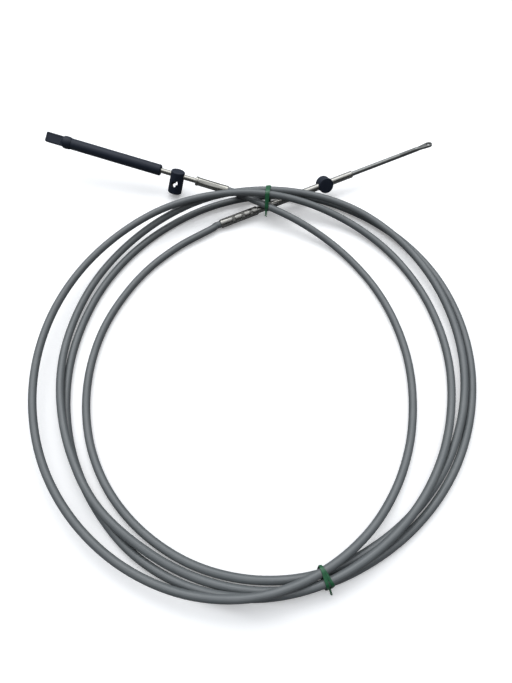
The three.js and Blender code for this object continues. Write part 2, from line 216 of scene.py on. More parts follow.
def make_surface_group():
    group, given, out = new_group(
        "uneven_surface",
        [("Vector", "NodeSocketVector", None), ("Colour A", "NodeSocketColor", (0.1, 0.1, 0.1, 1)),
         ("Colour B", "NodeSocketColor", (0.2, 0.2, 0.2, 1)), ("Patches", "NodeSocketFloat", 30),
         ("Grain", "NodeSocketFloat", 1500), ("Rough low", "NodeSocketFloat", 0.4),
         ("Rough high", "NodeSocketFloat", 0.5)],
        [("Colour", "NodeSocketColor"), ("Roughness", "NodeSocketFloat"), ("Height", "NodeSocketFloat")],
    )
    nodes, links = group.nodes, group.links
    patches = noise(nodes, links, given.outputs["Vector"], given.outputs["Patches"], 3)
    mix = nodes.new("ShaderNodeMix")
    mix.data_type = "RGBA"
    links.new(patches, mix.inputs["Factor"])
    links.new(given.outputs["Colour A"], mix.inputs[6])
    links.new(given.outputs["Colour B"], mix.inputs[7])
    links.new(mix.outputs[2], out.inputs["Colour"])
    grain = noise(nodes, links, given.outputs["Vector"], given.outputs["Grain"], 2)
    links.new(grain, out.inputs["Height"])
    rough = ranged(nodes, links, grain, given.outputs["Rough low"], given.outputs["Rough high"])
    links.new(rough, out.inputs["Roughness"])
    return group


def make_line_group():
    group, given, out = new_group(
        "drawn_lines",
        [("Vector", "NodeSocketVector", None), ("Stretch", "NodeSocketVector", (1, 100, 100)),
         ("Scale", "NodeSocketFloat", 40), ("Low", "NodeSocketFloat", 0), ("High", "NodeSocketFloat", 1)],
        [("Lines", "NodeSocketFloat")],
    )
    nodes, links = group.nodes, group.links
    stretch = nodes.new("ShaderNodeVectorMath")
    stretch.operation = "MULTIPLY"
    links.new(given.outputs["Vector"], stretch.inputs[0])
    links.new(given.outputs["Stretch"], stretch.inputs[1])
    lines = noise(nodes, links, stretch.outputs["Vector"], given.outputs["Scale"], 4)
    links.new(ranged(nodes, links, lines, given.outputs["Low"], given.outputs["High"]), out.inputs["Lines"])
    return group


UNEVEN = make_surface_group()
LINES = make_line_group()


def place_group(material, group, vector, **values):
    node = material.node_tree.nodes.new("ShaderNodeGroup")
    node.node_tree = group
    material.node_tree.links.new(vector, node.inputs["Vector"])
    for label, value in values.items():
        node.inputs[label.replace("_", " ")].default_value = value
    return node


def new_material(name):
    material = bpy.data.materials.new(name)
    material.use_nodes = True
    nodes = material.node_tree.nodes
    coordinates = nodes.new("ShaderNodeTexCoord")
    return material, nodes, material.node_tree.links, nodes["Principled BSDF"], coordinates


def bump_from(material, shader, height, distance, strength):
    bump = material.node_tree.nodes.new("ShaderNodeBump")
    bump.inputs["Distance"].default_value = distance
    bump.inputs["Strength"].default_value = strength
    material.node_tree.links.new(height, bump.inputs["Height"])
    material.node_tree.links.new(bump.outputs["Normal"], shader.inputs["Normal"])


# %% [markdown]
# ## Finishes
# The jacket is grey extruded plastic, satin, with faint lines along its length. Its UV map runs
# along the cable and round it, so the lines follow every bend. The steel is drawn bright, so its
# lines are stretched across the fitting's axis. The moulded plastic is nearly black and a little
# blue, and the ties are wire with a green plastic coat.


# %% Materials
def grey_jacket():
    material, nodes, links, shader, coordinates = new_material("grey_jacket")
    metres = nodes.new("ShaderNodeMapping")
    metres.inputs["Scale"].default_value = (JACKET_LENGTH, 2 * math.pi * JACKET_R * MM, 1)
    links.new(coordinates.outputs["UV"], metres.inputs["Vector"])
    skin = place_group(
        material, UNEVEN, coordinates.outputs["Object"], Patches=55, Grain=1400,
        Colour_A=(0.110, 0.122, 0.128, 1), Colour_B=(0.152, 0.164, 0.168, 1), Rough_low=0.33, Rough_high=0.43,
    )
    lines = place_group(
        material, LINES, metres.outputs["Vector"], Stretch=(1, 60, 1), Scale=26, Low=0.86, High=1.1,
    )
    tint = nodes.new("ShaderNodeMix")
    tint.data_type = "RGBA"
    tint.blend_type = "MULTIPLY"
    tint.inputs["Factor"].default_value = 1
    links.new(skin.outputs["Colour"], tint.inputs[6])
    links.new(lines.outputs["Lines"], tint.inputs[7])
    links.new(tint.outputs[2], shader.inputs["Base Color"])
    links.new(skin.outputs["Roughness"], shader.inputs["Roughness"])
    shader.inputs["Specular IOR Level"].default_value = 0.55
    both = nodes.new("ShaderNodeMath")
    both.operation = "ADD"
    links.new(skin.outputs["Height"], both.inputs[0])
    links.new(lines.outputs["Lines"], both.inputs[1])
    bump_from(material, shader, both.outputs["Value"], 0.00012, 0.5)
    return material


def bright_steel(name, fitting, colour_a, colour_b, rough_low, rough_high):
    material, nodes, links, shader, coordinates = new_material(name)
    straight = nodes.new("ShaderNodeMapping")
    straight.vector_type = "POINT"
    turn = fitting_frame(fitting).to_3x3().inverted().to_euler()
    straight.inputs["Rotation"].default_value = turn
    links.new(coordinates.outputs["Object"], straight.inputs["Vector"])
    skin = place_group(
        material, UNEVEN, straight.outputs["Vector"], Patches=160, Grain=900,
        Colour_A=colour_a, Colour_B=colour_b, Rough_low=rough_low, Rough_high=rough_high,
    )
    lines = place_group(
        material, LINES, straight.outputs["Vector"], Stretch=(1, 0.04, 0.04), Scale=2600, Low=0, High=1,
    )
    links.new(skin.outputs["Colour"], shader.inputs["Base Color"])
    links.new(skin.outputs["Roughness"], shader.inputs["Roughness"])
    shader.inputs["Metallic"].default_value = 1
    bump_from(material, shader, lines.outputs["Lines"], 0.00002, 0.5)
    return material


def black_moulding():
    material, nodes, links, shader, coordinates = new_material("black_moulding")
    skin = place_group(
        material, UNEVEN, coordinates.outputs["Object"], Patches=90, Grain=2600,
        Colour_A=(0.0095, 0.0140, 0.026, 1), Colour_B=(0.0160, 0.0225, 0.037, 1),
        Rough_low=0.42, Rough_high=0.54,
    )
    links.new(skin.outputs["Colour"], shader.inputs["Base Color"])
    links.new(skin.outputs["Roughness"], shader.inputs["Roughness"])
    shader.inputs["Specular IOR Level"].default_value = 0.28
    bump_from(material, shader, skin.outputs["Height"], 0.00006, 0.45)
    return material


def green_coat():
    material, nodes, links, shader, coordinates = new_material("green_coat")
    skin = place_group(
        material, UNEVEN, coordinates.outputs["Object"], Patches=260, Grain=2200,
        Colour_A=(0.006, 0.070, 0.025, 1), Colour_B=(0.016, 0.140, 0.055, 1), Rough_low=0.28, Rough_high=0.42,
    )
    links.new(skin.outputs["Colour"], shader.inputs["Base Color"])
    links.new(skin.outputs["Roughness"], shader.inputs["Roughness"])
    shader.inputs["Coat Weight"].default_value = 0.3
    shader.inputs["Coat Roughness"].default_value = 0.2
    bump_from(material, shader, skin.outputs["Height"], 0.00008, 0.4)
    return material


JACKET_GREY = grey_jacket()
ENGINE_STEEL = bright_steel(
    "engine_steel", ENGINE, (0.27, 0.266, 0.24, 1), (0.38, 0.372, 0.34, 1), 0.20, 0.32,
)
CONTROL_STEEL = bright_steel(
    "control_steel", CONTROL, (0.27, 0.266, 0.246, 1), (0.38, 0.372, 0.35, 1), 0.20, 0.33,
)
ROD_STEEL = bright_steel(
    "rod_steel", CONTROL, (0.17, 0.175, 0.17, 1), (0.25, 0.255, 0.25, 1), 0.34, 0.46,
)
BLACK = black_moulding()
GREEN = green_coat()

# %% [markdown]
# ## Helpers for the pieces
# A turned piece starts as one line of points beside its axis, which is spun once round. The shared
# last step lays a piece along its fitting, smooths it, gives it its material, parents it to an
# empty named for the body it rides on, and hides the CAD node that it stands for.


# %% Helpers
def turned(profile, steps):
    """Spins [distance, radius] points, in millimetres, round the X axis."""
    bm = bmesh.new()
    points = [bm.verts.new((x, radius, 0)) for x, radius in profile]
    edges = [bm.edges.new(pair) for pair in zip(points, points[1:])]
    bmesh.ops.spin(
        bm, geom=points + edges, cent=(0, 0, 0), axis=(1, 0, 0), angle=2 * math.pi, steps=steps,
        use_merge=True,
    )
    bmesh.ops.remove_doubles(bm, verts=bm.verts, dist=1e-4)
    bmesh.ops.recalc_face_normals(bm, faces=bm.faces)
    return bm


def round_start(x, radius, depth, points=4):
    """The rounded edge at the near end of a turned piece."""
    angles = [math.pi / 2 * k / points for k in range(points + 1)]
    return [(x + depth * (1 - math.cos(a)), radius - depth * (1 - math.sin(a))) for a in angles]


def round_end(x, radius, depth, points=4):
    """The rounded edge at the far end of a turned piece."""
    angles = [math.pi / 2 * k / points for k in range(points + 1)]
    return [(x - depth * (1 - math.sin(a)), radius - depth * (1 - math.cos(a))) for a in angles]


def ringed(start, end, pitch, radius, depth):
    """Points of a row of shallow grooves, such as a thread seen from the side."""
    points = []
    for k in range(int((end - start) / pitch)):
        x = start + k * pitch
        points += [(x, radius), (x + 0.35 * pitch, radius), (x + 0.6 * pitch, radius - depth)]
    return points + [(end, radius)]


def press_flats(bm, start, end, sides, apothem, phase):
    """Presses a round stretch into flats, as a crimping tool does."""
    for vert in bm.verts:
        radius = math.hypot(vert.co.y, vert.co.z)
        if start <= vert.co.x <= end and radius > apothem:
            angle = math.atan2(vert.co.z, vert.co.y) - phase
            half = math.pi / sides
            from_middle = (angle + half) % (2 * half) - half
            pressed = min(radius, apothem / math.cos(from_middle))
            vert.co.y *= pressed / radius
            vert.co.z *= pressed / radius


def mesh_object(bm, name):
    mesh = bpy.data.meshes.new(name)
    bm.to_mesh(mesh)
    bm.free()
    made = bpy.data.objects.new(name, mesh)
    bpy.context.scene.collection.objects.link(made)
    return made


def combine(base, tool, operation):
    """A boolean of two mesh objects, kept in the first; the second is used up."""
    modifier = base.modifiers.new("combine", "BOOLEAN")
    modifier.operation = operation
    modifier.solver = "MANIFOLD"
    modifier.object = tool
    evaluated = base.evaluated_get(bpy.context.evaluated_depsgraph_get())
    result = bpy.data.meshes.new_from_object(evaluated)
    base.modifiers.clear()
    base.data = result
    bpy.data.objects.remove(tool)


def finish_piece(piece, place, material, body, node, sharp=32):
    piece.data.transform(place)
    piece.data.polygons.foreach_set("use_smooth", [True] * len(piece.data.polygons))
    piece.data.set_sharp_from_angle(angle=math.radians(sharp))
    piece.data.materials.clear()
    piece.data.materials.append(material)
    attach(piece, body)
    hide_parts(node)
    print(piece.name, len(piece.data.polygons), "faces")
    return piece


# %% [markdown]
# ## The jacket
# A curve with a round bevel is the simplest way to a long bent tube, and its mesh comes with a UV map
# that runs along it. The mesh is kept and not the curve, so that the lines of the finish follow it.


# %% Jacket
def outer_jacket():
    curve = bpy.data.curves.new("jacket_line", "CURVE")
    curve.dimensions = "3D"
    curve.bevel_depth = JACKET_R
    curve.bevel_resolution = 6
    curve.use_fill_caps = True
    spline = curve.splines.new("POLY")
    spline.points.add(len(ROUTE) - 1)
    for point, place in zip(spline.points, ROUTE):
        point.co = (*place, 1)
    line = bpy.data.objects.new("jacket_line", curve)
    bpy.context.scene.collection.objects.link(line)
    mesh = bpy.data.meshes.new_from_object(line.evaluated_get(bpy.context.evaluated_depsgraph_get()))
    bpy.data.objects.remove(line)
    bm = bmesh.new()
    bm.from_mesh(mesh)
    bmesh.ops.remove_doubles(bm, verts=bm.verts, dist=1e-3)
    bm.to_mesh(mesh)
    bm.free()
    made = bpy.data.objects.new("conduit_jacket", mesh)
    bpy.context.scene.collection.objects.link(made)
    print("jacket UV maps:", mesh.uv_layers.keys())
    return finish_piece(made, TO_ROW, JACKET_GREY, "cable", "outer_jacket", sharp=60)


JACKET = outer_jacket()

# %% [markdown]
# ## Engine end
# The hub is a steel tube pressed on to the jacket and on to a thinner tube. The press leaves long
# flats, and the light breaks on their edges. The thin tube is drawn with shallow rings.

# %% Engine hub
HUB_SIDES = 6
E_HUB_END = 39.3
E_HUB_R = 4.9
E_HUB_LIP = 0.5
E_LIP_LENGTH = 2.5
WEB = 4
E_TUBE_R = 3
E_PRESSED_FROM = 3.8
E_PRESSED_TO = 33.6
E_PRESS_DEPTH = 0.42
E_GROOVE_FROM = 9
E_GROOVE_TO = 11.6
E_GROOVE_DEPTH = 0.25
E_GROOVE_RAMP = 0.6
TOWARDS_CAMERA = math.radians(62)


def engine_hub():
    lip_start = E_HUB_END - E_LIP_LENGTH
    groove_r = E_HUB_R - E_GROOVE_DEPTH
    body = turned([
        (SOCKET, 0), (SOCKET, JACKET_R + GAP), (0, JACKET_R + GAP), *round_start(0, E_HUB_R, 0.4),
        (E_PRESSED_FROM - 0.8, E_HUB_R), (E_PRESSED_FROM, E_HUB_R), (E_GROOVE_FROM, E_HUB_R),
        (E_GROOVE_FROM + E_GROOVE_RAMP, groove_r), (E_GROOVE_TO - E_GROOVE_RAMP, groove_r),
        (E_GROOVE_TO, E_HUB_R), (20, E_HUB_R), (E_PRESSED_TO, E_HUB_R), (E_PRESSED_TO + 1, E_HUB_R),
        (lip_start - 0.5, E_HUB_R), *round_start(lip_start - 0.3, E_HUB_R + E_HUB_LIP, 0.3),
        *round_end(E_HUB_END, E_HUB_R + E_HUB_LIP, 0.4),
        (E_HUB_END, E_TUBE_R + 0.12), (SOCKET + WEB, E_TUBE_R + 0.12), (SOCKET + WEB, 0),
    ], 72)
    press_flats(body, E_PRESSED_FROM, E_PRESSED_TO, HUB_SIDES, E_HUB_R - E_PRESS_DEPTH, TOWARDS_CAMERA)
    piece = mesh_object(body, "engine_crimped_hub")
    return finish_piece(piece, ENGINE_FRAME, ENGINE_STEEL, "cable", "engine_hub", sharp=22)


engine_hub()

# %% Engine tube
E_TUBE_END = 176
E_RINGED_LENGTH = 79
E_RING_PITCH = 2.6
E_RING_DEPTH = 0.16


def engine_tube():
    start = SOCKET + WEB + GAP
    rings_end = E_HUB_END + E_RINGED_LENGTH
    body = turned([
        (start, 0), (start, E_TUBE_R),
        *ringed(E_HUB_END + 1, rings_end, E_RING_PITCH, E_TUBE_R, E_RING_DEPTH),
        *round_end(E_TUBE_END, E_TUBE_R, 0.7), (E_TUBE_END, 0),
    ], 40)
    piece = mesh_object(body, "engine_end_tube")
    return finish_piece(piece, ENGINE_FRAME, ENGINE_STEEL, "cable", "engine_tube")


engine_tube()

# %% [markdown]
# The barrel is a moulded peg that turns on the tube. Two round holes that run into each other make
# its keyhole, which leans a little towards the barrel's axis and sits in a shallow round recess. All
# of them are cut with booleans, because the holes cross a round surface.

# %% Engine barrel
E_BARREL_AT = 61.9
E_BARREL_R = 8.2
E_BARREL_SHORT = 5.2
E_BARREL_LONG = 21.5
E_BARREL_LEAN = 28
KEYHOLE = [(13.4, 1.9, 2.6), (9.9, -0.6, 2.4)]
KEYHOLE_LEAN = 22
SINK_DOWN = 10
SINK_FLOOR = 5.4
SINK_R = 4.4
EDGE = 1.1


def rod_object(name, start, way, length, radius, steps=48):
    """A plain round bar from a point along a direction, as a tool for a boolean."""
    bar = turned([(0, 0), (0, radius), (length, radius), (length, 0)], steps)
    made = mesh_object(bar, name)
    turn = Vector((1, 0, 0)).rotation_difference(Vector(way)).to_matrix().to_4x4()
    made.data.transform(Matrix.Translation(start) @ turn)
    return made


def barrel_body(name, low, high, radius, lean):
    """A peg across the fitting, with a shallow dish in each end."""
    dish, rim = 0.35, 1.9
    body = turned([
        (low + dish, 0), (low + dish, radius - rim), (low, radius - rim + 0.3),
        *round_start(low, radius, EDGE), *round_end(high, radius, EDGE),
        (high, radius - rim + 0.3), (high - dish, radius - rim), (high - dish, 0),
    ], 80)
    made = mesh_object(body, name)
    axis = Vector((0, -math.sin(lean), math.cos(lean)))
    made.data.transform(Vector((1, 0, 0)).rotation_difference(axis).to_matrix().to_4x4())
    return made, axis


def engine_barrel():
    lean = math.radians(E_BARREL_LEAN)
    piece, axis = barrel_body("engine_swivel_barrel", -E_BARREL_LONG, E_BARREL_SHORT, E_BARREL_R, lean)
    across = Vector((0, math.cos(lean), math.sin(lean)))
    reach = E_BARREL_R + 4
    bore = rod_object("bore", Vector((-reach, 0, 0)), (1, 0, 0), 2 * reach, E_TUBE_R + GAP)
    combine(piece, bore, "DIFFERENCE")
    tip = math.radians(KEYHOLE_LEAN)
    through = across * math.cos(tip) + axis * math.sin(tip)
    for down, side, radius in KEYHOLE:
        start = -down * axis - reach * through + Vector((side, 0, 0))
        combine(piece, rod_object("keyhole", start, through, 2 * reach, radius), "DIFFERENCE")
    sink = rod_object("sink", SINK_DOWN * -axis + SINK_FLOOR * across, across, reach, SINK_R)
    combine(piece, sink, "DIFFERENCE")
    place = ENGINE_FRAME @ Matrix.Translation((E_BARREL_AT, 0, 0))
    return finish_piece(piece, place, BLACK, "engine_swivel", "engine_barrel")


engine_barrel()

# %% [markdown]
# The sleeve slides on the tube, and the terminal is moulded on its far end. The mould's two halves
# leave a fine raised line on each side of the sleeve.

# %% Engine sleeve
E_SLEEVE_FROM = 82
E_SLEEVE_TO = 191
E_SLEEVE_R = 6.5
SPIGOT_LENGTH = 7
SEAM_HEIGHT = 0.12
SLEEVE_STEPS = 72


def engine_sleeve():
    bore_end = (E_TUBE_END + E_SLEEVE_TO - SPIGOT_LENGTH) / 2
    body = turned([
        (bore_end, 0), (bore_end, E_TUBE_R + GAP), (E_SLEEVE_FROM, E_TUBE_R + GAP),
        *round_start(E_SLEEVE_FROM, E_SLEEVE_R, 1.7, 6), *round_end(E_SLEEVE_TO, E_SLEEVE_R, 0.3, 2),
        (E_SLEEVE_TO, 0),
    ], SLEEVE_STEPS)
    for vert in body.verts:
        radius = math.hypot(vert.co.y, vert.co.z)
        on_seam = abs(vert.co.z) < 0.01 and radius > E_SLEEVE_R - 0.2
        if on_seam:
            vert.co.y *= (radius + SEAM_HEIGHT) / radius
    piece = mesh_object(body, "engine_sliding_sleeve")
    return finish_piece(piece, ENGINE_FRAME, BLACK, "engine_slider", "engine_sleeve")


engine_sleeve()

# %% Engine terminal
E_COLLAR_R = 7.4
E_COLLAR_TO = 203.5
E_COLLAR_RAMP = 4
E_COLLAR_NOSE_R = 4.6
TAB_TO = 222
TAB_WIDTH = 11.5
TAB_THICK = 4.6
TAB_ROOT = 6
TAB_TURN = -30
TAB_RIM = 1.2
TAB_POCKET = 0.35


def tab_object():
    start, end = E_COLLAR_TO - TAB_ROOT, TAB_TO
    bm = bmesh.new()
    size = Matrix.Diagonal((end - start, TAB_WIDTH, TAB_THICK, 1))
    bmesh.ops.create_cube(bm, size=1, matrix=Matrix.Translation(((start + end) / 2, 0, 0)) @ size)
    upright = [edge for edge in bm.edges if abs(edge.verts[0].co.z - edge.verts[1].co.z) > 1]
    bmesh.ops.bevel(bm, geom=upright, offset=1.3, segments=4, affect="EDGES", profile=0.5, material=-1)
    rims = [edge for edge in bm.edges if abs(edge.verts[0].co.z - edge.verts[1].co.z) < 0.01]
    bmesh.ops.bevel(bm, geom=rims, offset=0.5, segments=3, affect="EDGES", profile=0.5, material=-1)
    flats = [face for face in bm.faces if abs(face.normal.z) > 0.99 and face.calc_area() > TAB_WIDTH]
    bmesh.ops.inset_individual(bm, faces=flats, thickness=TAB_RIM, depth=0)
    bmesh.ops.inset_individual(bm, faces=flats, thickness=0.3, depth=-TAB_POCKET)
    made = mesh_object(bm, "tab")
    made.data.transform(Matrix.Rotation(math.radians(TAB_TURN), 4, "X"))
    return made


def engine_terminal():
    start = E_SLEEVE_TO + GAP
    body = turned([
        (start, 0), *round_start(start, E_SLEEVE_R, 0.3, 2), (start + 1, E_SLEEVE_R + 0.05),
        (start + 0.5 * E_COLLAR_RAMP, E_SLEEVE_R + 0.6), (start + E_COLLAR_RAMP, E_COLLAR_R),
        (E_COLLAR_TO - 1.4 * E_COLLAR_RAMP, E_COLLAR_R),
        (E_COLLAR_TO - 0.8 * E_COLLAR_RAMP, E_COLLAR_R - 0.4),
        *round_end(E_COLLAR_TO, E_COLLAR_NOSE_R, 0.8), (E_COLLAR_TO, 0),
    ], 64)
    piece = mesh_object(body, "engine_terminal_tab")
    combine(piece, tab_object(), "UNION")
    return finish_piece(piece, ENGINE_FRAME, BLACK, "engine_slider", "engine_terminal")


engine_terminal()

# %% [markdown]
# ## Control end
# This hub is thicker, and three short crimps hold the tube in it. The tube is open at its end, and
# the rod slides in it.

# %% Control hub
C_HUB_END = 46
C_HUB_R = 5.1
C_HUB_CRIMPS = [16, 28, 38]
C_CRIMP_HALF = 1.6
C_CRIMP_DEPTH = 0.62
C_CRIMP_TURN = 70
C_TUBE_R = 4


def control_hub():
    profile = [(SOCKET, 0), (SOCKET, JACKET_R + GAP), (0, JACKET_R + GAP), *round_start(0, C_HUB_R, 0.35)]
    for middle in C_HUB_CRIMPS:
        for x in (middle - 2.4, middle - 1.5, middle, middle + 1.5, middle + 2.4):
            profile.append((x, C_HUB_R))
    body = turned([
        *profile, *round_end(C_HUB_END, C_HUB_R, 0.6), (C_HUB_END, C_TUBE_R + 0.1),
        (SOCKET + WEB, C_TUBE_R + 0.1), (SOCKET + WEB, 0),
    ], 72)
    for middle in C_HUB_CRIMPS:
        press_flats(
            body, middle - C_CRIMP_HALF, middle + C_CRIMP_HALF, HUB_SIDES, C_HUB_R - C_CRIMP_DEPTH,
            math.radians(C_CRIMP_TURN),
        )
    piece = mesh_object(body, "control_crimped_hub")
    return finish_piece(piece, CONTROL_FRAME, CONTROL_STEEL, "cable", "control_hub", sharp=24)


CONTROL_HUB = control_hub()

# %% Control tube
C_TUBE_END = 168.7
ROD_R = 2.7
ROD_HELD = 14.2
TRAVEL = 76


def control_tube():
    start = SOCKET + WEB + GAP
    bottom = C_TUBE_END - ROD_HELD - TRAVEL - 2
    body = turned([
        (start, 0), (start, C_TUBE_R), (C_HUB_END + 20, C_TUBE_R), (C_TUBE_END - 6, C_TUBE_R),
        *round_end(C_TUBE_END, C_TUBE_R, 0.9), (C_TUBE_END, ROD_R + GAP + 0.1),
        (C_TUBE_END - 0.5, ROD_R + GAP), (bottom, ROD_R + GAP), (bottom, 0),
    ], 56)
    piece = mesh_object(body, "control_end_tube")
    return finish_piece(piece, CONTROL_FRAME, CONTROL_STEEL, "cable", "control_tube")


control_tube()

# %% [markdown]
# This barrel is a short round plug with plain ends. It lies across the tube, and the hole that it
# turns on is cut through it, with a little air round the tube.

# %% Control barrel
C_BARREL_R = 8.9
C_BARREL_LENGTH = 12.8
C_BARREL_LEAN = 60


def control_barrel():
    lean, half = math.radians(C_BARREL_LEAN), C_BARREL_LENGTH / 2
    body = turned([
        (-half, 0), *round_start(-half, C_BARREL_R, 0.7), *round_end(half, C_BARREL_R, 0.7), (half, 0),
    ], 80)
    piece = mesh_object(body, "control_swivel_barrel")
    axis = Vector((0, -math.sin(lean), math.cos(lean)))
    piece.data.transform(Vector((1, 0, 0)).rotation_difference(axis).to_matrix().to_4x4())
    reach = C_BARREL_R + 4
    bore = rod_object("bore", Vector((-reach, 0, 0)), (1, 0, 0), 2 * reach, C_TUBE_R + GAP)
    combine(piece, bore, "DIFFERENCE")
    place = CONTROL_FRAME @ Matrix.Translation((C_BARREL_AT, 0, 0))
    return finish_piece(piece, place, BLACK, "control_swivel", "control_barrel")


control_barrel()

# %% [markdown]
# The rod ends in a short thread and an eye that was pressed flat. The eye's plate starts as a circle
# that is drawn out to the rod's width. Its hole is wider at both faces, so that light shows through
# it from the camera.

# %% Control rod
THREAD_FROM = 232
THREAD_PITCH = 0.9
THREAD_DEPTH = 0.3
EYE_FROM = 254
EYE_LENGTH = 21.7
EYE_R = 4.3
EYE_HOLE_R = 2.2
EYE_SINK = 1
EYE_HEEL_R = 2.1
EYE_THICK = 3
EYE_TURN = -20


def eye_plate():
    eye_x, heel_x = EYE_FROM + EYE_LENGTH - EYE_R, EYE_FROM + 1
    tangent = math.acos((EYE_HEEL_R - EYE_R) / (eye_x - heel_x))
    outline = []
    for k in range(33):
        a = -tangent + 2 * tangent * k / 32
        outline.append((eye_x + EYE_R * math.cos(a), EYE_R * math.sin(a)))
    for k in range(9):
        a = tangent + (2 * math.pi - 2 * tangent) * k / 8
        outline.append((heel_x + EYE_HEEL_R * math.cos(a), EYE_HEEL_R * math.sin(a)))
    bm = bmesh.new()
    corners = [bm.verts.new((x, y, -EYE_THICK / 2)) for x, y in outline]
    bottom = bm.faces.new(corners)
    raised = bmesh.ops.extrude_face_region(bm, geom=[bottom])["geom"]
    tops = [item for item in raised if isinstance(item, bmesh.types.BMVert)]
    bmesh.ops.translate(bm, verts=tops, vec=(0, 0, EYE_THICK))
    bmesh.ops.recalc_face_normals(bm, faces=bm.faces)
    rims = [edge for edge in bm.edges if abs(edge.verts[0].co.z - edge.verts[1].co.z) < 0.01]
    bmesh.ops.bevel(bm, geom=rims, offset=0.5, segments=3, affect="EDGES", profile=0.5, material=-1)
    plate = mesh_object(bm, "plate")
    half = EYE_THICK / 2
    wide = EYE_HOLE_R + EYE_SINK
    sunk = turned([
        (-half - 1, 0), (-half - 1, wide), (-half, wide), (-0.2, EYE_HOLE_R + 0.1),
        (0.2, EYE_HOLE_R + 0.1), (half, wide), (half + 1, wide), (half + 1, 0),
    ], 48)
    hole = mesh_object(sunk, "hole")
    turn = Vector((1, 0, 0)).rotation_difference(Vector((0, 0, 1))).to_matrix().to_4x4()
    hole.data.transform(Matrix.Translation((eye_x, 0, 0)) @ turn)
    combine(plate, hole, "DIFFERENCE")
    plate.data.transform(Matrix.Rotation(math.radians(EYE_TURN), 4, "X"))
    return plate


def control_rod():
    start = C_TUBE_END - ROD_HELD
    body = turned([
        (start, 0), *round_start(start, ROD_R, 0.5), (C_TUBE_END + 30, ROD_R),
        *ringed(THREAD_FROM, EYE_FROM, THREAD_PITCH, ROD_R, THREAD_DEPTH),
        (EYE_FROM + 2, ROD_R - 0.05), (EYE_FROM + 4.5, ROD_R - 0.35),
        (EYE_FROM + 6.6, 1.4), (EYE_FROM + 6.6, 0),
    ], 40)
    piece = mesh_object(body, "control_rod_and_eye")
    combine(piece, eye_plate(), "UNION")
    return finish_piece(piece, CONTROL_FRAME, ROD_STEEL, "control_slider", "control_rod")


control_rod()

# %% [markdown]
# ## Twist ties
# A twist tie is a wire in a flat plastic strip. Each tie here goes twice round the strands, and its
# two ends are twisted together. The strip's route is a tight loop round all that it holds: the
# outline, as a stretched string would give it, of the circles where the strands cross its plane. The
# two windings lie together on the coil's inner side and spread apart on its outer side.

# %% Tie helpers
TIE_THICK = 0.55
TIE_WIRE_R = 0.62
LOOP_POINTS = 96
WINDING_HEIGHTS = (0.75, 1.0)


def plane_at(clock):
    angle = math.radians(clock)
    out = Vector((math.sin(angle), math.cos(angle), 0))
    return out, Vector((math.cos(angle), -math.sin(angle), 0)), Vector((0, MIDDLE_Y, 0))


def strand_crossings(clock, line, radius):
    """Where a line of points crosses the tie's plane: (distance out, height, radius)."""
    out, normal, base = plane_at(clock)
    found = []
    for start, end in zip(line, line[1:]):
        d0, d1 = (start - base).dot(normal), (end - base).dot(normal)
        if d0 * d1 <= 0 and d0 != d1:
            point = start.lerp(end, d0 / (d0 - d1)) - base
            if point.dot(out) > 0:
                found.append((point.dot(out), point.z, radius))
    return found


def tight_loop(circles, grow):
    """Evenly spaced points of the string drawn round the circles, each with its outward direction."""
    dots = []
    for u, v, radius in circles:
        for k in range(40):
            a = 2 * math.pi * k / 40
            dots.append(Vector((u + (radius + grow) * math.cos(a), v + (radius + grow) * math.sin(a))))
    hull = [dots[k] for k in convex_hull_2d(dots)]
    area = sum(a.x * b.y - b.x * a.y for a, b in zip(hull, hull[1:] + hull[:1]))
    if area < 0:
        hull.reverse()
    lengths = [(b - a).length for a, b in zip(hull, hull[1:] + hull[:1])]
    total, loop, side, done = sum(lengths), [], 0, 0.0
    for k in range(LOOP_POINTS):
        want = total * k / LOOP_POINTS
        while done + lengths[side] < want:
            done += lengths[side]
            side += 1
        start, end = hull[side], hull[(side + 1) % len(hull)]
        loop.append(start.lerp(end, (want - done) / lengths[side]))
    return loop


def strip_section(width):
    """The strip's section: flat edges and a round wire in the middle, (across, outward)."""
    half, thin = width / 2, TIE_THICK / 2
    upper = [(half, 0), (half - 0.2, thin), (TIE_WIRE_R + 0.25, thin)]
    upper += [(TIE_WIRE_R * math.cos(a), TIE_WIRE_R * math.sin(a)) for a in (math.pi / 3, math.pi / 2)]
    upper += [(-x, y) for x, y in reversed(upper[:4])]
    return upper + [(-x, -y) for x, y in upper[1:-1]]


def sweep(bm, section, stations, is_closed):
    """Pulls a section along stations of (place, across, outward)."""
    rings = []
    for place, across, outward in stations:
        ring = [bm.verts.new(place + across * x + outward * y) for x, y in section]
        rings.append([bm.edges.new(pair) for pair in zip(ring, ring[1:] + ring[:1])])
    pairs = list(zip(rings, rings[1:] + rings[:1] if is_closed else rings[1:]))
    for near, far in pairs:
        bmesh.ops.bridge_loops(bm, edges=near + far)
    if not is_closed:
        for ring in (rings[0], rings[-1]):
            bmesh.ops.contextual_create(bm, geom=ring)


